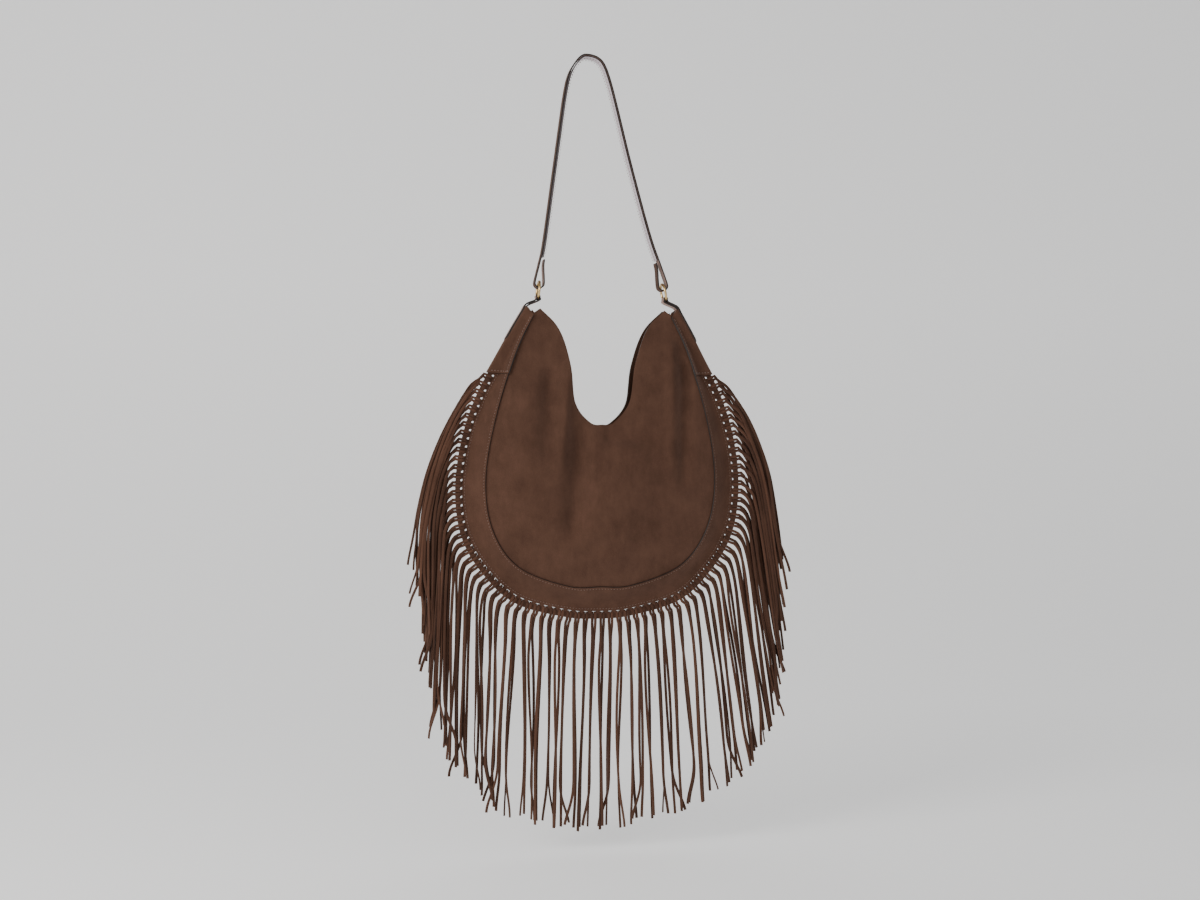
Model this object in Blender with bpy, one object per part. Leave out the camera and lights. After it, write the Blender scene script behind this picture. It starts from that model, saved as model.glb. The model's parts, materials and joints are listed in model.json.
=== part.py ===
"""A fringed suede shoulder bag hanging from its strap, each leather piece its own closed solid.

Sizes are in millimetres and become metres where a mesh is made. +Z is up and the front faces -Y.
The origin is the underside of the strap's highest point, where a hook or a hand carries the bag.
"""
import math

import bmesh
import bpy
from mathutils import Matrix, Vector

MM = 0.001

# Leather
SKIN = 1.8                  # thickness of the body's leather, the strap's outer layer and the tabs
GAP = 0.3                   # clearance between two pieces that touch
LAP = SKIN + 1.2            # how far a lapped piece's face stands off the one beneath it
HAIR = 0.5                  # clearance between a curled piece and the one it lies against

# Strap: the outer layer's centre line from the left ring over the top to the right ring
STRAP_WIDTH = 14.0
LINING = 1.4                # thickness of the strap's lining
TOP_RISE = LINING + GAP + SKIN / 2
STRAP_RUN = [(-54.5, -232), (-44, -157), (-32.9, -77), (-28.7, -48), (-24, -25), (-17.5, -10.5),
             (-8.5, 0.6), (0, TOP_RISE), (11.5, -0.6), (19, -9), (25.5, -26), (33.5, -55),
             (52.6, -131), (76.5, -217)]
TAIL = 30.0                 # height of the folded-back strap end above the ring's top wire

# Rings, seen from their own centres; each leans inwards at the top
RING_RADIUS = 11.0          # centre of the wire
WIRE_RADIUS = 1.5
RING_HEIGHT = -289.5
LOOP_OFFSET = 8.4           # from the ring's centre to the centre of a leather loop's bend
LOOP_RADIUS = 3.9           # centre of the leather round the wire
RINGS = {"left": (-1, -62.5, math.radians(6)), "right": (1, 97.0, math.radians(12))}

# Body: half outlines as (distance from the centre line, height), from the peak down to the bottom
EDGE_HALF = [(87, -301), (124, -361), (156, -421), (174, -479), (180, -540), (171, -596),
             (144, -641), (104, -677), (42, -695), (0, -698)]
SEAM_HALF = [(82.5, -311), (109, -366), (134, -450), (145, -525), (135, -587), (102, -632),
             (41, -656), (0, -657.5)]
MOUTH_HALF = [(81, -310), (56, -337), (41, -380), (34, -428), (15, -453), (0, -456)]
PEAK_HEIGHT = -300.0
PEAK_CENTRE = 18.0          # the centre line's x at the peaks
DRIFT = 5.5 / 400           # how far the centre line leans to -X for each millimetre of drop

# Shares of the way from a peak (0) down to the bottom (1)
TIP = 0.018                 # the panels stop this short of the peaks
YOKE_START = 0.03
YOKE_END = 0.20             # the cross seam
YOKE_LIFT = 1.4             # how much further a yoke stands off at the cross seam, in laps
BAND_START = 0.182          # the bands reach this far up under the yokes
TAB_END = 0.115
TAB_INNER_END = 0.055

# Depths of the outer face from the middle plane
PEAK_DEPTH = 9.0            # at the seam, by the peaks
SEAM_DEPTH = 15.0           # at the seam, lower down
NOSE_ROWS = 8               # facets round a yoke's edge
NOSE = 9.5                  # half depth of a yoke's rounded edge at the peak
NOSE_BULGE = 0.5            # how far that edge stands out, as a share of its half depth
ROWS = 6                    # facets across a band, and across each leg of a yoke
FLANGE = 2 / ROWS           # flat share of a band, where the fringe is laced
TUCK = 1 / ROWS             # share of the band's width that the panel's edge reaches under it
MOUTH_PEAK_DEPTH = 6.5
MOUTH_DEPTH = 13.0
BELLY = 14.0
TAB_WIDTH = 13.0

# Fringe: each solid stands for two neighbouring thongs
THONGS_PER_SIDE = 20
THONG_LENGTH = 260.0
THONG_DEPTH = 8.0
THONG_THIN = 2.8            # across a thong on the flanks
THONG_BROAD = 8.5           # across a thong at the bottom
THONG_SPACING = 1.2         # clearance between neighbours
REACH = 12.0                # how far a flank thong swings out before it falls
REACH_DROP = 8.0            # the drop in which most of that swing happens
STUB = 3.5                  # a thong's straight way out of the edge
THONG_STEP = 4.0            # drop between the points of a thong's line as it is worked out
FLANK_POINTS = (0, 1, 2, 3, 4, 6, 8, 11, 15, 20, 27, 36, 48, 66)
BOTTOM_POINTS = (0, 1, 6, 20, 40, 66)
LEAN = {"left": 0.02, "right": 0.18}    # sideways lean of the hanging thongs at the widest point

SUEDE = ("suede", (0.105, 0.055, 0.036), 0.95, 0.0)
SUEDE_DARK = ("suede_thong", (0.090, 0.046, 0.030), 0.95, 0.0)
LEATHER = ("smooth_leather", (0.115, 0.060, 0.042), 0.6, 0.0)
LINING_GREY = ("strap_lining", (0.36, 0.31, 0.33), 0.7, 0.0)
BRASS = ("brass", (0.75, 0.53, 0.24), 0.3, 1.0)


def smooth(value):
    value = min(max(value, 0.0), 1.0)
    return value * value * (3 - 2 * value)


def mix(low, high, share):
    return low + (high - low) * share


class Path:
    """A smooth curve through a few points, read by the share of its length."""

    def __init__(self, points, steps=10):
        knots = [Vector(point) for point in points]
        knots = [2 * knots[0] - knots[1]] + knots + [2 * knots[-1] - knots[-2]]
        self.points = []
        for a, b, c, d in zip(knots, knots[1:], knots[2:], knots[3:]):
            for step in range(steps):
                t = step / steps
                self.points.append(0.5 * (2 * b + (c - a) * t + (2 * a - 5 * b + 4 * c - d) * t ** 2
                                          + (3 * b - a - 3 * c + d) * t ** 3))
        self.points.append(knots[-2])
        self.lengths = [0.0]
        for a, b in zip(self.points, self.points[1:]):
            self.lengths.append(self.lengths[-1] + (b - a).length)
        self.length = self.lengths[-1]

    def at(self, share):
        target = share * self.length
        for i in range(1, len(self.points)):
            if self.lengths[i] >= target or i == len(self.points) - 1:
                span = self.lengths[i] - self.lengths[i - 1]
                return self.points[i - 1].lerp(self.points[i], (target - self.lengths[i - 1]) / span)

    def along(self, share):
        step = 0.003
        return (self.at(min(share + step, 1)) - self.at(max(share - step, 0))).normalized()


def both_halves(half):
    left = [(-x, z) for x, z in half]
    return Path(left + [(x, z) for x, z in reversed(half[:-1])])


EDGE = both_halves(EDGE_HALF)
SEAM = both_halves(SEAM_HALF)
MOUTH = both_halves(MOUTH_HALF)
WIDEST = max(x for x, z in EDGE_HALF)


def place(point, y):
    """A body point, given from the centre line, in the object's frame."""
    return Vector((point.x + PEAK_CENTRE + DRIFT * (point.y - PEAK_HEIGHT), y, point.y))


def peak_share(side, share):
    """The share along a whole outline of a point given by its side and its share from the peak."""
    return share / 2 if side < 0 else 1 - share / 2


def from_peak(along):
    return 1 - abs(2 * along - 1)


def seam_depth(down):
    return mix(PEAK_DEPTH, SEAM_DEPTH, smooth(down / 0.4))


def base_depth(down, across):
    """The face under the bands and yokes: across is 0 at the outer edge and 1 at the panel seam."""
    edge = mix(NOSE, SKIN + GAP, smooth(down / YOKE_END)) - LAP
    return mix(edge, seam_depth(down), smooth((across - FLANGE) / (1 - FLANGE)))


def band_point(along, across):
    point = EDGE.at(along).lerp(SEAM.at(along), across)
    return point, base_depth(from_peak(along), across) + LAP


def panel_point(along, across):
    """A panel's outer face: across is 0 at the seam, 1 at the mouth and negative under the band."""
    down = from_peak(along)
    if across < 0:
        return EDGE.at(along).lerp(SEAM.at(along), 1 - TUCK), base_depth(down, 1 - TUCK)
    point = SEAM.at(along).lerp(MOUTH.at(along), across)
    mouth = mix(MOUTH_PEAK_DEPTH, MOUTH_DEPTH, smooth(down / 0.35))
    crown = BELLY * smooth(down) * math.sin(math.pi * across)
    return point, mix(seam_depth(down), mouth, across) + crown


def yoke_depth(down, across):
    return base_depth(down, across) + LAP * (1 + YOKE_LIFT * down / YOKE_END)


def outward(along):
    way = EDGE.along(along)
    return Vector((way.y, -way.x))


def yoke_point(along, around):
    """A yoke's outer face: around is -1 at the front seam, 0 at the edge and 1 at the back seam."""
    down = from_peak(along)
    turn = NOSE_ROWS / (NOSE_ROWS + 2 * ROWS)
    if abs(around) > turn - 0.001:
        across = max(abs(around) - turn, 0) / (1 - turn)
        depth = math.copysign(yoke_depth(down, across), around)
        return EDGE.at(along).lerp(SEAM.at(along), across), depth
    angle = around / turn * math.pi / 2
    nose = yoke_depth(down, 0)
    return EDGE.at(along) + outward(along) * nose * NOSE_BULGE * math.cos(angle), nose * math.sin(angle)


def make_material(finish):
    name, colour, roughness, metallic = finish
    material = bpy.data.materials.get(name) or bpy.data.materials.new(name)
    material.use_nodes = True
    shader = material.node_tree.nodes["Principled BSDF"]
    shader.inputs["Base Color"].default_value = (*colour, 1)
    shader.inputs["Roughness"].default_value = roughness
    shader.inputs["Metallic"].default_value = metallic
    return material


def add_object(name, bm, finish, parent=None):
    mesh = bpy.data.meshes.new(name)
    bm.to_mesh(mesh)
    bm.free()
    mesh.shade_smooth()
    mesh.set_sharp_from_angle(angle=math.radians(40))
    mesh.materials.append(make_material(finish))
    item = bpy.data.objects.new(name, mesh)
    bpy.context.collection.objects.link(item)
    if parent:
        item.parent = parent
        item.matrix_parent_inverse = Matrix.Translation(parent.location).inverted()
    return item


def add_sheet(name, columns, rows, position, thickness, finish, parent=None, turn_over=False):
    """A grid laid out by position(u, v), thickened on the side away from its outer face."""
    bm = bmesh.new()
    bmesh.ops.create_grid(bm, x_segments=columns, y_segments=rows, size=0.5)
    for vert in bm.verts:
        vert.co = position(vert.co.x + 0.5, vert.co.y + 0.5) * MM
    if turn_over:
        bmesh.ops.reverse_faces(bm, faces=bm.faces)
    sheet = add_object(name, bm, finish, parent)
    solid = sheet.modifiers.new("thickness", "SOLIDIFY")
    solid.thickness = thickness * MM
    solid.offset = -1
    solid.use_even_offset = True
    return sheet


def add_ribbon(name, points, thicknesses, width, finish, parent=None):
    """A flat strip whose side view follows the points in the XZ plane, width across Y."""
    last = len(points) - 1

    def position(u, v):
        i = round(u * last)
        before, after = points[max(i - 1, 0)], points[min(i + 1, last)]
        way = (after - before).normalized()
        side = Vector((-way.y, way.x)) * thicknesses[i] * (v - 0.5)
        return Vector((points[i].x + side.x, -width / 2, points[i].y + side.y))

    return add_sheet(name, last, 1, position, width, finish, parent)


def ring_frame(side_name):
    """A ring's side, centre, upward direction in its own plane, and outward direction."""
    side, x, lean = RINGS[side_name]
    up = Vector((-side * math.sin(lean), math.cos(lean)))
    out = Vector((side * math.cos(lean), math.sin(lean)))
    return side, Vector((x, RING_HEIGHT)), up, out


def loop_round_wire(centre, up, out):
    """Leather round a ring's wire, from the inner side through the ring to the outer side."""
    bend = centre + up * LOOP_OFFSET
    turns = [math.radians(a) for a in (180, 216, 252, 288, 324, 360)]
    return [bend + out * LOOP_RADIUS * math.cos(a) + up * LOOP_RADIUS * math.sin(a) for a in turns]


def strap_end(side_name):
    """A strap end's centre line, from the tail's tip round the ring to the outer leg."""
    side, centre, up, out = ring_frame(side_name)
    bend = centre + up * LOOP_OFFSET
    layer = (SKIN + HAIR) / 2
    tail = [bend + up * TAIL - out * layer, bend + up * 21 - out * layer,
            bend + up * 7 - out * (LOOP_RADIUS - 0.7)]
    leg = [bend + up * 7 + out * (LOOP_RADIUS - 0.7), bend + up * 21 + out * layer]
    return tail + loop_round_wire(centre, up, out) + leg


def add_strap():
    left, right = strap_end("left"), strap_end("right")
    run = Path([left[-1]] + [Vector(point) for point in STRAP_RUN] + [right[-1]], steps=3)
    ends = [Path(end, steps=2).points[:-1] for end in (left, right)]
    outer = ends[0] + run.points + ends[1][::-1]
    add_ribbon("strap_outer", outer, [SKIN] * len(outer), STRAP_WIDTH, LEATHER)
    inset = SKIN / 2 + GAP + LINING / 2
    start, count = (TAIL - 21 + 3) / run.length, 34
    shares = [mix(start, 1 - start, i / count) for i in range(count + 1)]
    lining = [run.at(s) + Vector((run.along(s).y, -run.along(s).x)) * inset for s in shares]
    add_ribbon("strap_lining", lining, [LINING] * len(lining), STRAP_WIDTH, LINING_GREY)


def add_ring(side_name):
    side, x, lean = RINGS[side_name]
    bm = bmesh.new()
    bmesh.ops.create_circle(bm, segments=8, radius=WIRE_RADIUS * MM)
    bmesh.ops.translate(bm, verts=bm.verts, vec=(0, RING_RADIUS * MM, 0))
    bmesh.ops.rotate(bm, verts=bm.verts, matrix=Matrix.Rotation(math.pi / 2, 3, "Y"), cent=(0, 0, 0))
    bmesh.ops.rotate(bm, verts=bm.verts, matrix=Matrix.Rotation(math.pi / 2, 3, "X"), cent=(0, 0, 0))
    for vert in bm.verts:
        vert.co = Vector((vert.co.y, 0, vert.co.z))
    bmesh.ops.spin(bm, geom=bm.edges[:], axis=(1, 0, 0), cent=(0, 0, 0), steps=30,
                   angle=math.tau, use_merge=True)
    bmesh.ops.recalc_face_normals(bm, faces=bm.faces)
    ring = add_object(f"{side_name}_ring", bm, BRASS)
    ring.location = Vector((x, 0, RING_HEIGHT)) * MM
    ring.rotation_euler = (0, -side * lean, 0)
    return ring


def beside_edge(along, distance):
    """A point just outside the edge (inside if negative), as seen from the front."""
    placed = place(EDGE.at(along) + outward(along) * distance, 0)
    return Vector((placed.x, placed.z))


def add_tab(side_name, parent):
    """A strip through the ring, its long end on the yoke's edge and its short end inside it."""
    side, centre, up, out = ring_frame(side_name)
    bend = centre - up * LOOP_OFFSET
    inner_leg = [beside_edge(peak_share(side, share), 0) for share in (TAB_INNER_END, 0.035, 0.02)]
    outer_leg = []
    for share in (0.018, 0.04, 0.07, 0.095, TAB_END):
        distance = yoke_depth(share, 0) * NOSE_BULGE + HAIR + SKIN / 2
        outer_leg.append(beside_edge(peak_share(side, share), distance))
    points = (inner_leg + [bend - out * LOOP_RADIUS - up * 5] + loop_round_wire(centre, -up, out)
              + [bend + out * LOOP_RADIUS - up * 3] + outer_leg)
    line = Path(points, steps=3).points
    return add_ribbon(f"{side_name}_tab", line, [SKIN] * len(line), TAB_WIDTH, LEATHER, parent)


def add_yoke(side_name, parent):
    side = RINGS[side_name][0]

    def position(u, v):
        share = mix(YOKE_START, YOKE_END, u if side < 0 else 1 - u)
        return place(*yoke_point(peak_share(side, share), 2 * v - 1))

    return add_sheet(f"{side_name}_yoke", 7, NOSE_ROWS + 2 * ROWS, position, SKIN, SUEDE, parent, turn_over=True)


def add_panel(name, face, parent):
    rows = 7

    def position(u, v):
        along = mix(TIP / 2, 1 - TIP / 2, u)
        point, depth = panel_point(along, (round(v * rows) - 1) / (rows - 1))
        return place(point, face * depth)

    return add_sheet(name, 36, rows, position, SKIN, SUEDE, parent, turn_over=face > 0)


def add_band(name, face, parent):
    def position(u, v):
        point, depth = band_point(mix(BAND_START / 2, 1 - BAND_START / 2, u), v)
        return place(point, face * depth)

    return add_sheet(name, 48, ROWS, position, SKIN, SUEDE, parent, turn_over=face > 0)


def x_at(line, height):
    """How far out a hanging line is at a height."""
    for a, b in zip(line, line[1:]):
        if b.y <= height <= a.y:
            return mix(a.x, b.x, (a.y - height) / (a.y - b.y))
    return line[-1].x if height < line[-1].y else -math.inf


def cut_to_length(line, length):
    kept = [line[0]]
    for a, b in zip(line, line[1:]):
        step = (b - a).length
        if step >= length:
            return kept + [a.lerp(b, length / step)]
        kept.append(b)
        length -= step
    return kept


def hang(side_name, along, below, clearance):
    """One thong's line, out of the edge and down outside the body and the thong below it."""
    start, out = EDGE.at(along), outward(along)
    start.x, out.x = abs(start.x), abs(out.x)
    line = [start + out * HAIR, start + out * STUB]
    lean = LEAN[side_name] * start.x / WIDEST
    flank = [Vector((abs(p.x), p.y)) for p in EDGE.points[:len(EDGE.points) // 2 + 1]]
    widest = start.x
    for number in range(1, round(THONG_LENGTH / THONG_STEP) + 1):
        drop = number * THONG_STEP
        height = start.y - drop
        widest = max(widest, x_at(flank, height))
        x = widest + out.x * (STUB + REACH * (1 - math.exp(-drop / REACH_DROP))) + lean * drop
        if below:
            x = max(x, x_at(below, height) + clearance)
        if height < line[-1].y - THONG_STEP / 2:
            line.append(Vector((x, height)))
    return line


def add_fringe(side_name, parent):
    """The thongs of one side, from the middle of the bottom outwards and up to the yoke."""
    side = RINGS[side_name][0]
    pitch = (1 - YOKE_END) / THONGS_PER_SIDE
    below, before = None, THONG_BROAD
    for number in range(THONGS_PER_SIDE):
        along = peak_share(side, 1 - pitch * (number + 0.5))
        down = -outward(along).y
        across = mix(THONG_THIN, THONG_BROAD, smooth((down - 0.3) / 0.6))
        line = hang(side_name, along, below, (before + across) / 2 + THONG_SPACING)
        below, before = line, across
        cut = cut_to_length(line, THONG_LENGTH)
        kept = [i for i in (FLANK_POINTS if down < 0.9 else BOTTOM_POINTS) if i < len(cut) - 1]
        points = []
        for i in kept + [len(cut) - 1]:
            placed = place(Vector((side * cut[i].x, cut[i].y)), 0)
            points.append(Vector((placed.x, placed.z)))
        if side < 0:
            points.reverse()
        name = f"{side_name}_thongs_{number + 1:02d}"
        add_ribbon(name, points, [across] * len(points), THONG_DEPTH, SUEDE_DARK, parent)


def main():
    for item in list(bpy.data.objects):
        bpy.data.objects.remove(item, do_unlink=True)
    pivot = bpy.data.objects.new("bag_pivot", None)
    pivot.location = Vector((PEAK_CENTRE, 0, RING_HEIGHT)) * MM
    bpy.context.collection.objects.link(pivot)
    add_strap()
    for side_name in RINGS:
        add_ring(side_name)
        add_tab(side_name, pivot)
        add_yoke(side_name, pivot)
    for name, face in (("front", -1), ("back", 1)):
        add_panel(f"{name}_panel", face, pivot)
        add_band(f"{name}_band", face, pivot)
    for side_name in RINGS:
        add_fringe(side_name, pivot)


main()
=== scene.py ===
"""The looks of a fringed suede shoulder bag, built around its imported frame."""
import json
import math
import random

import bmesh
import bpy
from mathutils import Matrix, Vector, noise


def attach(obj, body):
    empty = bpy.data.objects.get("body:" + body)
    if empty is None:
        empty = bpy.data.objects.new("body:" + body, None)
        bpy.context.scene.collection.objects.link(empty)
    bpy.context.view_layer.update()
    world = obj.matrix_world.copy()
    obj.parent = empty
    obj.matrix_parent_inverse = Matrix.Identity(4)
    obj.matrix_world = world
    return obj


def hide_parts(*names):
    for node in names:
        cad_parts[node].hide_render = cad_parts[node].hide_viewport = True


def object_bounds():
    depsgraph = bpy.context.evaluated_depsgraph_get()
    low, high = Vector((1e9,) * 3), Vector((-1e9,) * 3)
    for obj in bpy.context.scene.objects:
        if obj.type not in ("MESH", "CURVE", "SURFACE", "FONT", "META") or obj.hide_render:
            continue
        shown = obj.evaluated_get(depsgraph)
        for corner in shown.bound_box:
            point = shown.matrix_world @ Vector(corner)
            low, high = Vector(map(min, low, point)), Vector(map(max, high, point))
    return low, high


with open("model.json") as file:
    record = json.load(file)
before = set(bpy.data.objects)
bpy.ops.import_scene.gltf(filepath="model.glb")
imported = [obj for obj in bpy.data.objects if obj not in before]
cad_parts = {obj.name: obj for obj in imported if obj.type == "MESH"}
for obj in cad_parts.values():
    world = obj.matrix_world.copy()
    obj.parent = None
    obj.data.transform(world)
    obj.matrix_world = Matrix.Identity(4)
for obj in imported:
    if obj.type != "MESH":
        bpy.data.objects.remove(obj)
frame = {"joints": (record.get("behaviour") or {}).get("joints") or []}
cad_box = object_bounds()

MM = 0.001
SEED = 7

# Body outlines in millimetres, as (distance from the centre line, height), from a peak to the bottom
EDGE_HALF = [(87, -301), (124, -361), (156, -421), (174, -479), (180, -540), (171, -596),
             (144, -641), (104, -677), (42, -695), (0, -698)]
SEAM_HALF = [(82.5, -311), (109, -366), (134, -450), (145, -525), (135, -587), (102, -632),
             (41, -656), (0, -657.5)]
MOUTH_HALF = [(81, -310), (56, -337), (41, -380), (34, -428), (15, -453), (0, -456)]
PEAK_HEIGHT = -300.0
PEAK_CENTRE = 18.0
DRIFT = 5.5 / 400

# Leather
SKIN = 1.8
LAP = 2.2                   # how far a lapped piece's face stands off the one beneath it
TIP = 0.018                 # the panels stop this share of the way down from the peaks
YOKE_START, YOKE_END, BAND_START = 0.024, 0.20, 0.186
TAB_END = 0.115
YOKE_LIFT = 1.2
PEAK_DEPTH, SEAM_DEPTH = 9.0, 15.0
NOSE, NOSE_BULGE = 9.5, 0.5
FLAT = 13.0                 # width of the flat edge where the fringe is laced
TUCK = 5.0                  # how far the panel's edge reaches under the band
MOUTH_PEAK_DEPTH, MOUTH_DEPTH = 6.5, 13.0
BELLY = 13.0

# Lacing
THONGS_PER_SIDE = 40
HOLE_NEAR, HOLE_FAR = 6.6, 9.4      # the slots' distance in from the edge
STRAND_WIDTH, STRAND_THICK = 3.4, 1.7
STRAND_LENGTH = 262.0
LANES = (-5.4, 1.8, -1.8, 5.4)      # depths in which neighbouring strands hang
REACH, REACH_DROP, STUB = 12.0, 8.0, 3.5
LEAN = {"left": 0.02, "right": 0.18}
STACK = 2.0                         # how far each flank thong hangs outside the one below it

# Stitching
STITCH_PITCH, STITCH_LENGTH, STITCH_RADIUS = 3.8, 2.6, 0.42

# Strap and rings
STRAP_WIDTH = 14.0
LINING = 1.4
TOP_RISE = LINING + 0.3 + SKIN / 2
STRAP_RUN = [(-54.5, -232), (-44, -157), (-32.9, -77), (-28.7, -48), (-24, -25), (-17.5, -10.5),
             (-8.5, 0.6), (0, TOP_RISE), (11.5, -0.6), (19, -9), (25.5, -26), (33.5, -55),
             (52.6, -131), (76.5, -217)]
TAIL, PINCH, LOOP_TOP = 30.0, 21.0, 7.0   # heights above the strap's bend
LOOP_INSET = 0.7
TAB_WIDTH = 13.0
RING_RADIUS, WIRE_RADIUS = 11.0, 1.5
LOOP_OFFSET, LOOP_RADIUS = 8.4, 3.9
HAIR = 0.5


def ring_places():
    """Each ring's side, centre in millimetres and inward lean, from its joint."""
    places = {}
    for joint in frame["joints"]:
        if joint["name"].endswith("_ring_turn"):
            x, _, z = (value / MM for value in joint["pos_m"])
            lean = math.atan2(abs(joint["axis"][2]), abs(joint["axis"][0]))
            side_name = joint["name"].split("_")[0]
            places[side_name] = (-1 if side_name == "left" else 1, Vector((x, z)), lean)
    return places


RINGS = ring_places()


# --- Curves and the body's surface -------------------------------------------------------------

def smooth(value):
    value = min(max(value, 0.0), 1.0)
    return value * value * (3 - 2 * value)


def mix(low, high, share):
    return low + (high - low) * share


class Path:
    """A smooth curve through a few points, read by the share of its length."""

    def __init__(self, points, steps=16):
        knots = [Vector(point) for point in points]
        knots = [2 * knots[0] - knots[1]] + knots + [2 * knots[-1] - knots[-2]]
        self.points = []
        for a, b, c, d in zip(knots, knots[1:], knots[2:], knots[3:]):
            for step in range(steps):
                t = step / steps
                self.points.append(0.5 * (2 * b + (c - a) * t + (2 * a - 5 * b + 4 * c - d) * t ** 2
                                          + (3 * b - a - 3 * c + d) * t ** 3))
        self.points.append(knots[-2])
        self.lengths = [0.0]
        for a, b in zip(self.points, self.points[1:]):
            self.lengths.append(self.lengths[-1] + (b - a).length)
        self.length = self.lengths[-1]

    def at(self, share):
        target = min(max(share, 0), 1) * self.length
        low, high = 0, len(self.points) - 1
        while high - low > 1:
            middle = (low + high) // 2
            low, high = (middle, high) if self.lengths[middle] < target else (low, middle)
        span = self.lengths[high] - self.lengths[low]
        return self.points[low].lerp(self.points[high], (target - self.lengths[low]) / span)

    def along(self, share):
        step = 0.002
        return (self.at(share + step) - self.at(share - step)).normalized()


def both_halves(half):
    left = [(-x, z) for x, z in half]
    return Path(left + [(x, z) for x, z in reversed(half[:-1])])


EDGE, SEAM, MOUTH = (both_halves(half) for half in (EDGE_HALF, SEAM_HALF, MOUTH_HALF))
FLANK = [Vector((abs(p.x), p.y)) for p in EDGE.points[:len(EDGE.points) // 2 + 1]]
WIDEST = max(x for x, z in EDGE_HALF)


def place(point, y):
    return Vector((point.x + PEAK_CENTRE + DRIFT * (point.y - PEAK_HEIGHT), y, point.y))


def peak_share(side, share):
    return share / 2 if side < 0 else 1 - share / 2


def from_peak(along):
    return 1 - abs(2 * along - 1)


def outward(along):
    way = EDGE.along(along)
    return Vector((way.y, -way.x))


def seam_depth(down):
    return mix(PEAK_DEPTH, SEAM_DEPTH, smooth(down / 0.4))


def band_width(along):
    return (SEAM.at(along) - EDGE.at(along)).length


def base_depth(along, across):
    """The face under the bands and yokes: across is 0 at the outer edge and 1 at the panel seam."""
    down = from_peak(along)
    edge = mix(NOSE, SKIN + 0.4, smooth(down / YOKE_END)) - LAP
    flat = min(FLAT / band_width(along), 0.6)
    rise = smooth((across - flat) / (1.25 - flat)) / smooth((1 - flat) / (1.25 - flat))
    return mix(edge, seam_depth(down), min(rise, 1.0))


def band_point(along, across):
    return EDGE.at(along).lerp(SEAM.at(along), across), base_depth(along, across) + LAP


# Folds of the front panel: a crest or valley along a line, with its half width and height
FRONT_FOLDS = [
    ((-41, -395), (-53, -505), 7, 5.5),
    ((-24, -430), (-36, -585), 13, -13.0),
    ((-66, -395), (-70, -490), 12, -7.0),
    ((-95, -430), (-100, -540), 22, 5.0),
    ((10, -470), (62, -476), 9, -6.0),
    ((22, -490), (78, -484), 12, 4.0),
    ((87, -360), (89, -500), 8, 5.0),
    ((106, -385), (104, -520), 9, -8.0),
    ((20, -520), (10, -620), 40, 4.0),
]
BACK_FOLDS = [
    ((44, -395), (54, -505), 8, 5.0),
    ((28, -430), (44, -585), 14, -10.0),
    ((-60, -400), (-66, -500), 14, -6.0),
    ((-90, -380), (-94, -500), 10, 4.0),
    ((0, -500), (10, -620), 40, 4.0),
]


def fold_height(point, folds):
    height = 0.0
    for start, end, width, rise in folds:
        start, end = Vector(start), Vector(end)
        run = end - start
        t = min(max((point - start).dot(run) / run.length_squared, 0), 1)
        distance = (point - start - run * t).length
        height += rise * math.exp(-(distance / width) ** 2) * mix(1, 0.55, t)
    return height


def panel_point(along, across, folds):
    """A panel's outer face: across is 0 at the seam, 1 at the mouth and negative under the band."""
    down = from_peak(along)
    if across < 0:
        under = 1 - TUCK / band_width(along)
        return EDGE.at(along).lerp(SEAM.at(along), under), base_depth(along, under)
    point = SEAM.at(along).lerp(MOUTH.at(along), across)
    mouth = mix(MOUTH_PEAK_DEPTH, MOUTH_DEPTH, smooth(down / 0.35))
    crown = BELLY * smooth(down) * math.sin(math.pi * across)
    still = smooth(across / 0.22) * mix(1, 0.35, smooth((across - 0.85) / 0.15))
    dent = 0.5 * noise.noise(Vector((point.x, point.y, 3)) / 28)
    depth = mix(seam_depth(down), mouth, across) + crown
    return point, depth + still * (fold_height(point, folds) + dent * 2)


def yoke_depth(along, across):
    return base_depth(along, across) + LAP * (1 + YOKE_LIFT * from_peak(along) / YOKE_END)


def yoke_point(along, around):
    """A yoke's outer face: around is -1 at the front seam, 0 at the edge and 1 at the back seam."""
    turn = 0.4
    if abs(around) > turn:
        across = (abs(around) - turn) / (1 - turn)
        depth = math.copysign(yoke_depth(along, across), around)
        return EDGE.at(along).lerp(SEAM.at(along), across), depth
    angle = around / turn * math.pi / 2
    nose = yoke_depth(along, 0)
    return EDGE.at(along) + outward(along) * nose * NOSE_BULGE * math.cos(angle), nose * math.sin(angle)


# --- Materials ---------------------------------------------------------------------------------

def new_group(name, inputs, outputs):
    group = bpy.data.node_groups.new(name, "ShaderNodeTree")
    for socket, kind, value in inputs:
        item = group.interface.new_socket(name=socket, in_out="INPUT", socket_type=kind)
        item.default_value = value
    for socket, kind in outputs:
        group.interface.new_socket(name=socket, in_out="OUTPUT", socket_type=kind)
    return group, group.nodes.new("NodeGroupInput"), group.nodes.new("NodeGroupOutput")


def add_noise(tree, vector, scale, detail=3.0, roughness=0.55):
    node = tree.nodes.new("ShaderNodeTexNoise")
    node.inputs["Scale"].default_value = scale
    node.inputs["Detail"].default_value = detail
    node.inputs["Roughness"].default_value = roughness
    tree.links.new(vector, node.inputs["Vector"])
    return node.outputs["Fac"]


def add_math(tree, operation, first, second, third=None):
    node = tree.nodes.new("ShaderNodeMath")
    node.operation = operation
    for socket, value in zip(node.inputs, (first, second, third)):
        if isinstance(value, (int, float)):
            socket.default_value = value
        elif value is not None:
            tree.links.new(value, socket)
    return node.outputs[0]


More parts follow.
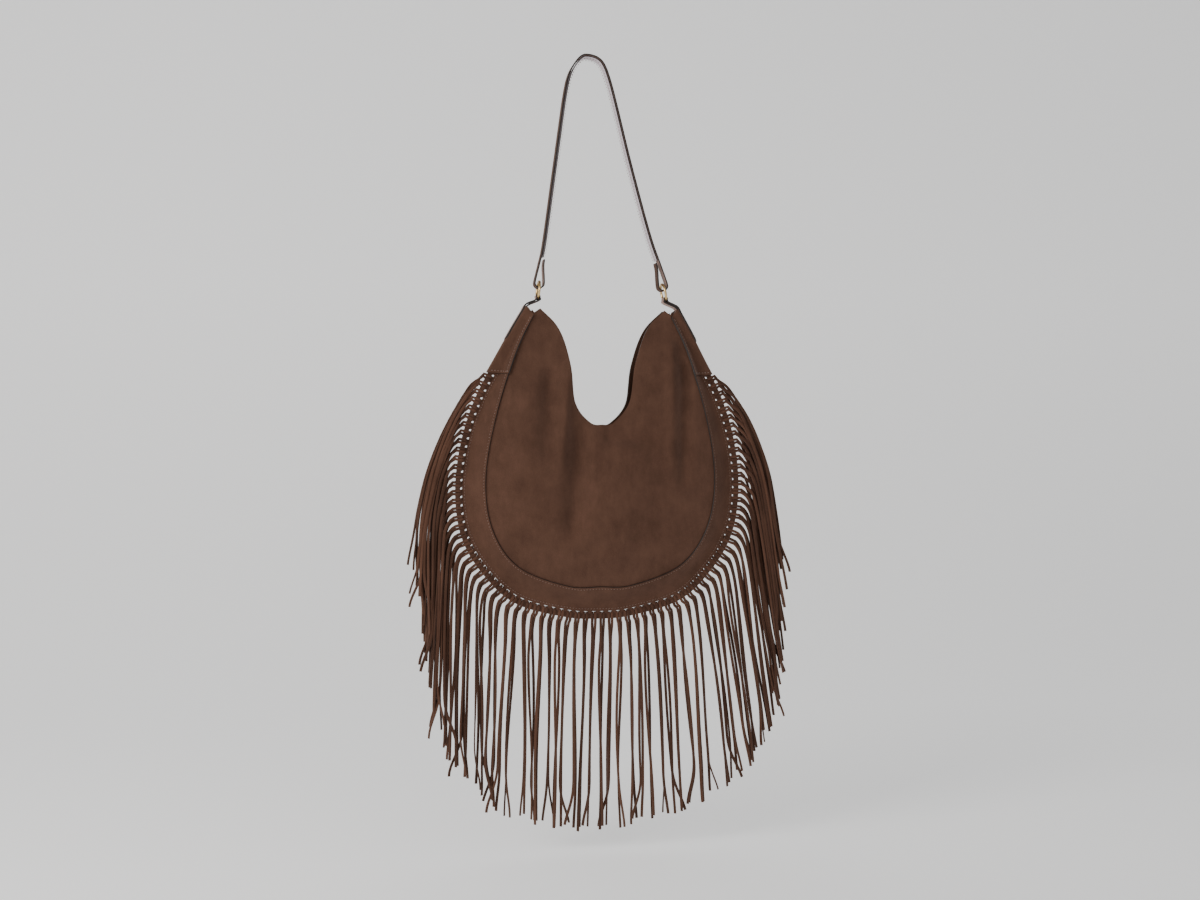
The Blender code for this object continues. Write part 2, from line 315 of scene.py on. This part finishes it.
def add_mix(tree, factor, first, second, blend="MIX"):
    node = tree.nodes.new("ShaderNodeMix")
    node.data_type, node.blend_type = "RGBA", blend
    for socket, value in zip((node.inputs[0], node.inputs[6], node.inputs[7]), (factor, first, second)):
        if isinstance(value, (int, float)):
            socket.default_value = value
        elif isinstance(value, tuple):
            socket.default_value = (*value, 1)
        else:
            tree.links.new(value, socket)
    return node.outputs[2]


def make_nap_group():
    """Suede's nap: cloudy brushed patches over a fine fibrous grain."""
    group, given, result = new_group(
        "suede_nap",
        [("Position", "NodeSocketVector", (0, 0, 0)), ("Dark", "NodeSocketColor", (0.05, 0.02, 0.01, 1)),
         ("Light", "NodeSocketColor", (0.1, 0.05, 0.03, 1)), ("Grain", "NodeSocketFloat", 1.0)],
        [("Colour", "NodeSocketColor"), ("Height", "NodeSocketFloat"), ("Rough", "NodeSocketFloat")])
    position = given.outputs["Position"]
    clouds = add_noise(group, position, 24, 4, 0.6)
    streaks = group.nodes.new("ShaderNodeMapping")
    streaks.inputs["Scale"].default_value = (1, 1, 0.45)
    group.links.new(position, streaks.inputs["Vector"])
    brushed = add_noise(group, streaks.outputs[0], 110, 4, 0.65)
    fibres = add_noise(group, position, 1500, 3, 0.7)
    pile = add_noise(group, position, 520, 2, 0.6)
    tone = add_math(group, "MULTIPLY_ADD", clouds, 0.9, -0.2)
    tone = add_math(group, "MULTIPLY_ADD", brushed, 0.7, tone)
    speck = add_math(group, "MULTIPLY", add_math(group, "SUBTRACT", fibres, 0.5), 0.9)
    tone = add_math(group, "MULTIPLY_ADD", speck, given.outputs["Grain"], tone)
    ramp = group.nodes.new("ShaderNodeClamp")
    group.links.new(tone, ramp.inputs[0])
    colour = add_mix(group, ramp.outputs[0], given.outputs["Dark"], given.outputs["Light"])
    group.links.new(colour, result.inputs["Colour"])
    height = add_math(group, "MULTIPLY_ADD", fibres, 0.6, pile)
    group.links.new(height, result.inputs["Height"])
    group.links.new(add_math(group, "MULTIPLY_ADD", brushed, 0.2, 0.75), result.inputs["Rough"])
    return group


def new_material(name, roughness=0.8, metallic=0.0):
    material = bpy.data.materials.new(name)
    material.use_nodes = True
    shader = material.node_tree.nodes["Principled BSDF"]
    shader.inputs["Roughness"].default_value = roughness
    shader.inputs["Metallic"].default_value = metallic
    return material, material.node_tree, shader


def object_position(tree):
    return tree.nodes.new("ShaderNodeTexCoord").outputs["Object"]


def add_bump(tree, shader, height, strength, distance):
    bump = tree.nodes.new("ShaderNodeBump")
    bump.inputs["Strength"].default_value = strength
    bump.inputs["Distance"].default_value = distance
    tree.links.new(height, bump.inputs["Height"])
    tree.links.new(bump.outputs[0], shader.inputs["Normal"])


def make_suede(name, dark, light, nap, sheen, grain=1.0, toned=False):
    material, tree, shader = new_material(name, 0.9)
    group = tree.nodes.new("ShaderNodeGroup")
    group.node_tree = nap
    tree.links.new(object_position(tree), group.inputs["Position"])
    group.inputs["Dark"].default_value = (*dark, 1)
    group.inputs["Light"].default_value = (*light, 1)
    group.inputs["Grain"].default_value = grain
    colour = group.outputs["Colour"]
    if toned:
        tone = tree.nodes.new("ShaderNodeAttribute")
        tone.attribute_name = "tone"
        colour = add_mix(tree, 1.0, colour, tone.outputs["Color"], "MULTIPLY")
    tree.links.new(colour, shader.inputs["Base Color"])
    tree.links.new(group.outputs["Rough"], shader.inputs["Roughness"])
    shader.inputs["Specular IOR Level"].default_value = 0.12
    shader.inputs["Sheen Weight"].default_value = sheen
    shader.inputs["Sheen Roughness"].default_value = 0.45
    shader.inputs["Sheen Tint"].default_value = (1.0, 0.70, 0.60, 1)
    add_bump(tree, shader, group.outputs["Height"], 0.55, 0.0004)
    return material


def make_leather(name, colour, pale, roughness, sheen=0.0):
    """Smooth leather with a pebbled grain and a little mottling."""
    material, tree, shader = new_material(name, roughness)
    position = object_position(tree)
    mottle = add_noise(tree, position, 90, 4, 0.6)
    cells = tree.nodes.new("ShaderNodeTexVoronoi")
    cells.inputs["Scale"].default_value = 900
    tree.links.new(position, cells.inputs["Vector"])
    tree.links.new(add_mix(tree, mottle, colour, pale), shader.inputs["Base Color"])
    tree.links.new(add_math(tree, "MULTIPLY_ADD", mottle, 0.3, roughness - 0.15), shader.inputs["Roughness"])
    shader.inputs["Specular IOR Level"].default_value = 0.35
    shader.inputs["Sheen Weight"].default_value = sheen
    shader.inputs["Sheen Tint"].default_value = (1.0, 0.72, 0.62, 1)
    add_bump(tree, shader, cells.outputs["Distance"], 0.35, 0.0003)
    return material


def make_brass():
    material, tree, shader = new_material("warm_brass", 0.25, 1.0)
    wear = add_noise(tree, object_position(tree), 350, 4, 0.7)
    tree.links.new(add_mix(tree, wear, (0.52, 0.33, 0.12), (0.86, 0.62, 0.30)), shader.inputs["Base Color"])
    tree.links.new(add_math(tree, "MULTIPLY_ADD", wear, 0.3, 0.12), shader.inputs["Roughness"])
    return material


def make_thread(name, dark, light):
    material, tree, shader = new_material(name, 0.6)
    twist = add_noise(tree, object_position(tree), 700, 2, 0.5)
    tree.links.new(add_mix(tree, twist, dark, light), shader.inputs["Base Color"])
    tree.links.new(add_math(tree, "MULTIPLY_ADD", twist, 0.3, 0.45), shader.inputs["Roughness"])
    shader.inputs["Sheen Weight"].default_value = 0.4
    return material


NAP = make_nap_group()
SUEDE = make_suede("brown_suede", (0.040, 0.018, 0.0105), (0.105, 0.052, 0.034), NAP, 0.25)
THONG_SUEDE = make_suede("thong_suede", (0.040, 0.018, 0.0105), (0.100, 0.048, 0.031), NAP, 0.22, 0.8, True)
INNER_SUEDE = make_suede("inside_suede", (0.030, 0.014, 0.008), (0.070, 0.034, 0.022), NAP, 0.1)
EDGE_PAINT = make_leather("dark_edge_paint", (0.010, 0.007, 0.006), (0.022, 0.015, 0.012), 0.4)
STRAP_LEATHER = make_leather("strap_leather", (0.10, 0.045, 0.030), (0.16, 0.075, 0.052), 0.55, 0.5)
# The lining's pale pinkish colour is painted reflection: it stands in for the bright surroundings mirrored at a
# grazing angle by glossy dark leather.
LINING_PAINTED_REFLECTION = make_leather("strap_lining_leather_painted_reflection", (0.46, 0.40, 0.43), (0.60, 0.54, 0.58), 0.6)
BRASS = make_brass()
THREAD = make_thread("brown_thread", (0.09, 0.045, 0.032), (0.22, 0.13, 0.10))


# --- Pieces ------------------------------------------------------------------------------------

def finish_piece(name, bm, materials, body, nodes=(), shade=50):
    mesh = bpy.data.meshes.new(name)
    bm.to_mesh(mesh)
    bm.free()
    mesh.shade_smooth()
    mesh.set_sharp_from_angle(angle=math.radians(shade))
    for material in materials:
        mesh.materials.append(material)
    piece = bpy.data.objects.new(name, mesh)
    bpy.context.collection.objects.link(piece)
    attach(piece, body)
    if nodes:
        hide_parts(*nodes)
    return piece


def mapped_grid(columns, rows, position):
    bm = bmesh.new()
    bmesh.ops.create_grid(bm, x_segments=columns, y_segments=rows, size=0.5)
    for vert in bm.verts:
        vert.co = position(vert.co.x + 0.5, vert.co.y + 0.5) * MM
    return bm


def thicken(piece, thickness, rounding=0.35):
    """Leather thickness on the inner side, with painted cut edges that are slightly rounded."""
    solid = piece.modifiers.new("thickness", "SOLIDIFY")
    solid.thickness = thickness * MM
    solid.offset = -1
    solid.use_even_offset = True
    solid.material_offset = 2
    solid.material_offset_rim = 1
    bevel = piece.modifiers.new("rounding", "BEVEL")
    bevel.width = rounding * MM
    bevel.segments = 2
    bevel.limit_method = "ANGLE"
    bevel.angle_limit = math.radians(50)


def row_shares(stops, rows):
    """Shares for a grid's rows: the stops as given, then evenly on to 1."""
    left = rows + 1 - len(stops)
    return list(stops) + [mix(stops[-1], 1, (i + 1) / left) for i in range(left)]


def add_panel(name, face, folds):
    rows = 56

    def position(u, v):
        along = mix(TIP / 2, 1 - TIP / 2, u)
        point, depth = panel_point(along, (round(v * rows) - 1) / (rows - 1), folds)
        return place(point, face * depth)

    bm = mapped_grid(200, rows, position)
    if face > 0:
        bmesh.ops.reverse_faces(bm, faces=bm.faces)
    piece = finish_piece(f"{name}_panel_suede", bm, [SUEDE, EDGE_PAINT, INNER_SUEDE], "bag",
                         [f"{name}_panel"])
    thicken(piece, SKIN)


COLUMNS_PER_THONG = 4


def thong_share(side, number):
    """Where a thong is laced, counted from the middle of the bottom up each side."""
    pitch = (1 - YOKE_END) / THONGS_PER_SIDE
    return peak_share(side, 1 - pitch * (number + 0.5))


def add_band(name, face):
    """An edge band, with a slot for each thong."""
    under = 10
    laced = 2 * THONGS_PER_SIDE * COLUMNS_PER_THONG
    columns = laced + 2 * under
    start = YOKE_END / 2

    def along_at(column):
        if column < under:
            return mix(BAND_START / 2, start, column / under)
        if column > under + laced:
            return mix(1 - start, 1 - BAND_START / 2, (column - under - laced) / under)
        return mix(start, 1 - start, (column - under) / laced)

    rows = 16

    def position(u, v):
        along = along_at(round(u * columns))
        width = band_width(along)
        stops = [distance / width for distance in (0, 1.2, 4, HOLE_NEAR, HOLE_FAR, 11, FLAT)]
        point, depth = band_point(along, row_shares(stops, rows)[round(v * rows)])
        return place(point, face * depth)

    bm = mapped_grid(columns, rows, position)
    bm.verts.ensure_lookup_table()
    bm.faces.ensure_lookup_table()
    slots = []
    for face_item in bm.faces:
        column, row = face_item.index % columns, face_item.index // columns
        if row == 3 and under <= column < under + laced and (column - under) % COLUMNS_PER_THONG in (1, 2):
            slots.append(face_item)
    bmesh.ops.delete(bm, geom=slots, context="FACES")
    if face > 0:
        bmesh.ops.reverse_faces(bm, faces=bm.faces)
    piece = finish_piece(f"{name}_band_suede", bm, [SUEDE, EDGE_PAINT, INNER_SUEDE], "bag",
                         [f"{name}_band"])
    thicken(piece, SKIN)


def add_yoke(side_name):
    side = RINGS[side_name][0]

    def position(u, v):
        share = mix(YOKE_START, YOKE_END, u if side < 0 else 1 - u)
        return place(*yoke_point(peak_share(side, share), 2 * v - 1))

    bm = mapped_grid(30, 60, position)
    bmesh.ops.reverse_faces(bm, faces=bm.faces)
    piece = finish_piece(f"{side_name}_yoke_suede", bm, [SUEDE, EDGE_PAINT, INNER_SUEDE], "bag",
                         [f"{side_name}_yoke"])
    thicken(piece, SKIN)


# --- Stitching ---------------------------------------------------------------------------------

def add_stitches(name, lines, body, radius=STITCH_RADIUS, length=STITCH_LENGTH, pitch=STITCH_PITCH):
    """Short thread stitches along lines of (point, facing), each a little capsule half sunk in the skin."""
    bm = bmesh.new()
    for line in lines:
        travelled, due = 0.0, pitch / 2
        for (a, facing), (b, _) in zip(line, line[1:]):
            step = (b - a).length
            while due <= travelled + step and step > 0:
                spot = a.lerp(b, (due - travelled) / step)
                way = (b - a).normalized()
                side = facing.cross(way).normalized()
                turn = Matrix((side, way, side.cross(way))).transposed().to_4x4()
                shape = Matrix.Diagonal((radius, length / 2, radius * 0.8, 1))
                matrix = Matrix.Translation(spot) @ turn @ shape
                bmesh.ops.create_icosphere(bm, subdivisions=1, radius=1, matrix=matrix)
                due += pitch
            travelled += step
    bmesh.ops.scale(bm, vec=(MM, MM, MM), verts=bm.verts)
    return finish_piece(name, bm, [THREAD], body, shade=80)


def body_line(point_of, shares, face):
    """A line on the body, with the way its surface faces at each point."""
    line = []
    for share in shares:
        here, depth = point_of(share)
        line.append((place(here, face * (depth + 0.15)), Vector((0, face, 0))))
    return line


def span(first, last, count):
    return [mix(first, last, i / count) for i in range(count + 1)]


def add_body_stitching():
    for name, face in (("front", -1), ("back", 1)):
        start = YOKE_END / 2
        seam = body_line(lambda s: band_point(s, 1 - 2.2 / band_width(s)), span(start, 1 - start, 400), face)
        inner = body_line(lambda s: band_point(s, 12.4 / band_width(s)), span(start, 1 - start, 400), face)
        add_stitches(f"{name}_band_stitches", [seam, inner], "bag", radius=0.34, length=2.2)
        lines = []
        for side in (-1, 1):
            def leg(share):
                along = peak_share(side, share)
                across = 1 - 2.2 / band_width(along)
                return EDGE.at(along).lerp(SEAM.at(along), across), yoke_depth(along, across)

            def cross(across):
                along = peak_share(side, YOKE_END - 0.006)
                return EDGE.at(along).lerp(SEAM.at(along), across), yoke_depth(along, across)

            lines += [body_line(leg, span(YOKE_START + 0.01, YOKE_END, 40), face),
                      body_line(cross, span(0.05, 0.95, 20), face)]
        add_stitches(f"{name}_yoke_stitches", lines, "bag", radius=0.5)


# --- Strap, tabs and rings ---------------------------------------------------------------------

def ring_frame(side_name):
    side, centre, lean = RINGS[side_name]
    up = Vector((-side * math.sin(lean), math.cos(lean)))
    out = Vector((side * math.cos(lean), math.sin(lean)))
    return side, centre, up, out


def loop_round_wire(centre, up, out):
    bend = centre + up * LOOP_OFFSET
    turns = [math.radians(a) for a in (180, 216, 252, 288, 324, 360)]
    return [bend + out * LOOP_RADIUS * math.cos(a) + up * LOOP_RADIUS * math.sin(a) for a in turns]


def strap_end(side_name):
    side, centre, up, out = ring_frame(side_name)
    bend = centre + up * LOOP_OFFSET
    layer = (SKIN + HAIR) / 2
    tail = [bend + up * TAIL - out * layer, bend + up * PINCH - out * layer,
            bend + up * LOOP_TOP - out * (LOOP_RADIUS - LOOP_INSET)]
    leg = [bend + up * LOOP_TOP + out * (LOOP_RADIUS - LOOP_INSET), bend + up * PINCH + out * layer]
    return tail + loop_round_wire(centre, up, out) + leg


def add_strip(name, line, thickness, width, materials, body, nodes, end_round=0.0):
    """A flat strip whose side view follows the line: a grid over its upper face, thickened below.
    With end_round its last stretch narrows to a rounded tip."""
    last = len(line) - 1
    lengths = [0.0]
    for a, b in zip(line, line[1:]):
        lengths.append(lengths[-1] + (b - a).length)
    rows = 8

    def position(u, v):
        i = round(u * last)
        way = (line[min(i + 1, last)] - line[max(i - 1, 0)]).normalized()
        side = Vector((-way.y, way.x)) * thickness / 2
        left = lengths[-1] - lengths[i]
        half = width / 2
        if left < end_round:
            half *= math.sqrt(max(1 - ((end_round - left) / end_round) ** 2, 0.02))
        return Vector((line[i].x + side.x, (2 * v - 1) * half, line[i].y + side.y))

    bm = mapped_grid(last, rows, position)
    bmesh.ops.reverse_faces(bm, faces=bm.faces)
    piece = finish_piece(name, bm, materials, body, nodes)
    thicken(piece, thickness, 0.3)
    return piece


def strip_stitches(line, lift, width, margin=1.6):
    """Two rows of stitches near a strip's long edges, on the side that lift points to."""
    rows = []
    for y in (-width / 2 + margin, width / 2 - margin):
        row = []
        for i, point in enumerate(line):
            way = (line[min(i + 1, len(line) - 1)] - line[max(i - 1, 0)]).normalized()
            side = Vector((-way.y, way.x))
            spot = point + side * lift
            row.append((Vector((spot.x, y, spot.y)), Vector((side.x, 0, side.y)) * math.copysign(1, lift)))
        rows.append(row)
    return rows


def add_strap():
    left, right = strap_end("left"), strap_end("right")
    run = Path([left[-1]] + [Vector(point) for point in STRAP_RUN] + [right[-1]], steps=8)
    ends = [Path(end, steps=6).points[:-1] for end in (left, right)]
    outer = ends[0] + run.points + ends[1][::-1]
    add_strip("strap_outer_leather", outer, SKIN, STRAP_WIDTH, [STRAP_LEATHER, EDGE_PAINT, INNER_SUEDE],
              "strap", ["strap_outer"])
    inset = SKIN / 2 + 0.3 + LINING / 2
    start = (TAIL - PINCH + 3) / run.length
    lining = [run.at(s) + Vector((run.along(s).y, -run.along(s).x)) * inset for s in span(start, 1 - start, 120)]
    # The lining strip carries the pale painted-reflection colour rather than the leather's own dark brown.
    add_strip("strap_lining_leather_painted_reflection", lining, LINING, STRAP_WIDTH, [LINING_PAINTED_REFLECTION, EDGE_PAINT, LINING_PAINTED_REFLECTION],
              "strap", ["strap_lining"])
    add_stitches("strap_stitches", strip_stitches(run.points, SKIN / 2 + 0.1, STRAP_WIDTH)
                 + strip_stitches(lining, -LINING / 2 - 0.1, STRAP_WIDTH), "strap")


def beside_edge(along, distance):
    placed = place(EDGE.at(along) + outward(along) * distance, 0)
    return Vector((placed.x, placed.z))


def add_tab(side_name):
    side, centre, up, out = ring_frame(side_name)
    bend = centre - up * LOOP_OFFSET
    inner_leg = [beside_edge(peak_share(side, share), 0) for share in (0.055, 0.035, 0.02)]
    outer_leg = []
    for share in (0.018, 0.04, 0.07, 0.095, TAB_END):
        along = peak_share(side, share)
        outer_leg.append(beside_edge(along, yoke_depth(along, 0) * NOSE_BULGE + HAIR + SKIN / 2))
    points = (inner_leg + [bend - out * LOOP_RADIUS - up * 5] + loop_round_wire(centre, -up, out)
              + [bend + out * LOOP_RADIUS - up * 3] + outer_leg)
    line = Path(points, steps=8).points
    if side > 0:
        line = [Vector((-p.x, p.y)) for p in line]
    piece = add_strip(f"{side_name}_tab_leather", line, SKIN, TAB_WIDTH, [STRAP_LEATHER, EDGE_PAINT, INNER_SUEDE],
                      "bag", [f"{side_name}_tab"], 7.0)
    if side > 0:
        piece.data.transform(Matrix.Diagonal((-1, 1, 1, 1)))
        piece.data.flip_normals()
    leg = Path(outer_leg, steps=8).points
    lift = -(SKIN / 2 + 0.1) * side
    add_stitches(f"{side_name}_tab_stitches", strip_stitches(leg[:-6], lift, TAB_WIDTH), "bag")


def add_ring(side_name):
    side, centre, lean = RINGS[side_name]
    bm = bmesh.new()
    bmesh.ops.create_circle(bm, segments=20, radius=WIRE_RADIUS)
    bmesh.ops.translate(bm, verts=bm.verts, vec=(RING_RADIUS, 0, 0))
    bmesh.ops.rotate(bm, verts=bm.verts, matrix=Matrix.Rotation(math.pi / 2, 3, "X"), cent=(0, 0, 0))
    bmesh.ops.spin(bm, geom=bm.edges[:], axis=(0, 0, 1), cent=(0, 0, 0), steps=96, angle=math.tau, use_merge=True)
    bmesh.ops.recalc_face_normals(bm, faces=bm.faces)
    turn = Matrix.Rotation(-side * lean, 4, "Y") @ Matrix.Rotation(math.pi / 2, 4, "Y")
    bmesh.ops.transform(bm, matrix=Matrix.Translation((centre.x, 0, centre.y)) @ turn, verts=bm.verts)
    bmesh.ops.scale(bm, vec=(MM, MM, MM), verts=bm.verts)
    finish_piece(f"{side_name}_ring_brass", bm, [BRASS], f"{side_name}_ring", [f"{side_name}_ring"], 80)


# --- Fringe ------------------------------------------------------------------------------------

def x_at(line, height):
    for a, b in zip(line, line[1:]):
        if b.y <= height <= a.y and a.y > b.y:
            return mix(a.x, b.x, (a.y - height) / (a.y - b.y))
    return line[-1].x if height < line[-1].y else -math.inf


def hang(side_name, along, below):
    """A thong's line beside the body: out of the edge, over, and down outside the thong below it."""
    start, out = EDGE.at(along), outward(along)
    start.x, out.x = abs(start.x), abs(out.x)
    line = [start + out * 0.5, start + out * STUB]
    lean = LEAN[side_name] * start.x / WIDEST
    widest = start.x
    for number in range(1, 100):
        drop = number * 3.0
        height = start.y - drop
        widest = max(widest, x_at(FLANK, height))
        x = widest + out.x * (STUB + REACH * (1 - math.exp(-drop / REACH_DROP))) + lean * drop
        if below:
            x = max(x, x_at(below, height) + STACK)
        if height < line[-1].y - 1.5:
            line.append(Vector((x, height)))
    return line


def add_strand(bm, tone_layer, points, faces_at, widths, tone):
    """One suede strand: a rounded flat section carried along its points."""
    section = [(-0.5, -0.28), (-0.36, -0.5), (0.36, -0.5), (0.5, -0.28),
               (0.5, 0.28), (0.36, 0.5), (-0.36, 0.5), (-0.5, 0.28)]
    rings = []
    last = len(points) - 1
    for i, point in enumerate(points):
        way = (points[min(i + 1, last)] - points[max(i - 1, 0)]).normalized()
        side = way.cross(faces_at[i]).normalized()
        up = side.cross(way)
        ring = [bm.verts.new((point + side * a * widths[i] + up * b * STRAND_THICK) * MM) for a, b in section]
        for vert in ring:
            vert[tone_layer] = tone
        if rings:
            for j in range(8):
                k = (j + 1) % 8
                bm.faces.new((rings[-1][j], rings[-1][k], ring[k], ring[j]))
        rings.append(ring)
    bm.faces.new(rings[0][::-1])
    bm.faces.new(rings[-1])


def strand_points(side_name, along, line, pair, lane, rng, pull):
    """The points of one of a thong's two strands, from the slot over the edge and down."""
    side = RINGS[side_name][0]
    start, out = EDGE.at(along), outward(along)
    tangent = Vector((-out.y, out.x))
    flat_y = -(SKIN + 0.4 + STRAND_THICK / 2 + 0.1)
    spread = 1.95 * pair
    points = []
    for distance, y in ((HOLE_FAR - 1.4, 0.5), (HOLE_NEAR, flat_y - 0.2), (4.5, flat_y), (2.0, flat_y),
                        (0.2, flat_y + 0.2)):
        points.append(place(start - out * distance + tangent * spread, y))
    phase = rng.uniform(0, math.tau)
    sway = rng.uniform(0.6, 2.6)
    curl = rng.uniform(-1, 1) ** 3 * 16
    travelled, previous, length = 0.0, line[0], STRAND_LENGTH * rng.uniform(0.975, 1.01)
    for point in line[1:]:
        travelled += (point - previous).length
        previous = point
        if travelled > length:
            break
        share = travelled / STRAND_LENGTH
        here = Vector((side * point.x, point.y))
        apart = spread * mix(1, 0.75, smooth(travelled / 30))
        turned = tangent.lerp(Vector((math.copysign(1, tangent.x + 1e-6), 0)), smooth(travelled / 25))
        offset = turned * apart
        waves = sway * math.sin(phase + share * 5.0) * smooth(travelled / 60)
        drift = pull * smooth(travelled / 200)
        tip = curl * smooth((share - 0.72) / 0.28) ** 2
        here = here + offset + Vector((waves + drift + tip, 0))
        y = mix(flat_y + 0.6, lane, smooth(travelled / 28)) + 1.0 * math.sin(phase * 1.7 + share * 7)
        points.append(place(here, y))
    return points


def add_fringe():
    rng = random.Random(SEED)
    for side_name in RINGS:
        side = RINGS[side_name][0]
        below = None
        for number in range(THONGS_PER_SIDE):
            if number % 2 == 0:
                bm = bmesh.new()
                layer = bm.verts.layers.float_color.new("tone")
            if number % 3 == 0:
                gather = rng.uniform(-5, 5)
            pull = gather + (1 - number % 3) * rng.uniform(1.0, 5.0) * side
            along = thong_share(side, number)
            line = hang(side_name, along, below)
            below = line
            down = max(-outward(along).y, 0)
            for k, pair in enumerate((-1, 1)):
                lane = LANES[(2 * (number % 2) + k) % 4]
                points = strand_points(side_name, along, line, pair, lane, rng, pull * down)
                shade = rng.uniform(0.72, 1.22)
                twist, turns = rng.uniform(0, 1.2), rng.uniform(-1.3, 1.3)
                count = len(points)
                facing, widths = [], []
                for i in range(count):
                    angle = turns * smooth((i - 8) / 60) + twist * 0.2 * math.sin(i / 9)
                    facing.append(Vector((math.sin(angle), -math.cos(angle), 0)))
                    widths.append(STRAND_WIDTH)
                add_strand(bm, layer, points, facing, widths, (shade, shade * 0.98, shade * 0.96, 1))
            if number % 2 == 1:
                node = f"{side_name}_thongs_{number // 2 + 1:02d}"
                finish_piece(f"{node}_laced", bm, [THONG_SUEDE], "bag", [node], 60)


# --- Stage -------------------------------------------------------------------------------------

def add_stage():
    """A pale floor that curves up into a wall, soft light from the left, and the camera."""
    low, high = (Vector(corner) for corner in cad_box)
    middle = (low + high) / 2
    material, tree, shader = new_material("pale_paper", 0.9)
    shader.inputs["Base Color"].default_value = (0.80, 0.80, 0.80, 1)
    shader.inputs["Specular IOR Level"].default_value = 0.0
    shader.inputs["Emission Color"].default_value = (1, 1, 1, 1)
    shader.inputs["Emission Strength"].default_value = 0.42
    floor = low.z - 0.03
    profile = [(-3.0, floor), (0.9, floor)]
    for step in range(1, 9):
        angle = step / 8 * math.pi / 2
        profile.append((0.9 + 0.9 * math.sin(angle), floor + 0.9 * (1 - math.cos(angle))))
    profile.append((1.8, floor + 4.5))
    bm = bmesh.new()
    bmesh.ops.create_grid(bm, x_segments=1, y_segments=len(profile) - 1, size=0.5)
    for vert in bm.verts:
        y, z = profile[round((vert.co.y + 0.5) * (len(profile) - 1))]
        vert.co = Vector((vert.co.x * 9 + middle.x, y, z))
    mesh = bpy.data.meshes.new("pale_backdrop")
    bm.to_mesh(mesh)
    bm.free()
    mesh.shade_smooth()
    mesh.materials.append(material)
    backdrop = bpy.data.objects.new("pale_backdrop", mesh)
    bpy.context.collection.objects.link(backdrop)
    target = Vector((0.0156, 0, -0.4875))
    add_camera(target, math.radians(-11), 1.8)
    add_area("key_left", target + Vector((-1.7, -1.1, 0.75)), target, 1.1, 34, (1.0, 0.97, 0.94))
    add_area("fill_front", target + Vector((0.6, -2.2, 0.3)), target, 1.8, 9, (1, 1, 1))
    world = bpy.data.worlds.new("soft_studio")
    world.use_nodes = True
    world.node_tree.nodes["Background"].inputs[0].default_value = (1, 1, 1, 1)
    world.node_tree.nodes["Background"].inputs[1].default_value = 0.35
    bpy.context.scene.world = world


def add_area(name, spot, target, size, power, colour):
    light = bpy.data.lights.new(name, "AREA")
    light.size, light.energy, light.color = size, power, colour
    item = bpy.data.objects.new(name, light)
    item.location = spot
    item.rotation_euler = (target - spot).to_track_quat("-Z", "Y").to_euler()
    bpy.context.collection.objects.link(item)


def add_camera(target, yaw, distance):
    camera = bpy.data.cameras.new("camera")
    camera.sensor_width = 36
    camera.lens = 24.0 * distance
    item = bpy.data.objects.new("camera", camera)
    item.location = target + Vector((math.sin(yaw), -math.cos(yaw), 0)) * distance
    item.rotation_euler = (target - item.location).to_track_quat("-Z", "Y").to_euler()
    bpy.context.collection.objects.link(item)
    bpy.context.scene.camera = item


def main():
    add_stage()
    for name, face, folds in (("front", -1, FRONT_FOLDS), ("back", 1, BACK_FOLDS)):
        add_panel(name, face, folds)
        add_band(name, face)
    add_body_stitching()
    add_strap()
    for side_name in RINGS:
        add_yoke(side_name)
        add_tab(side_name)
        add_ring(side_name)
    add_fringe()


main()
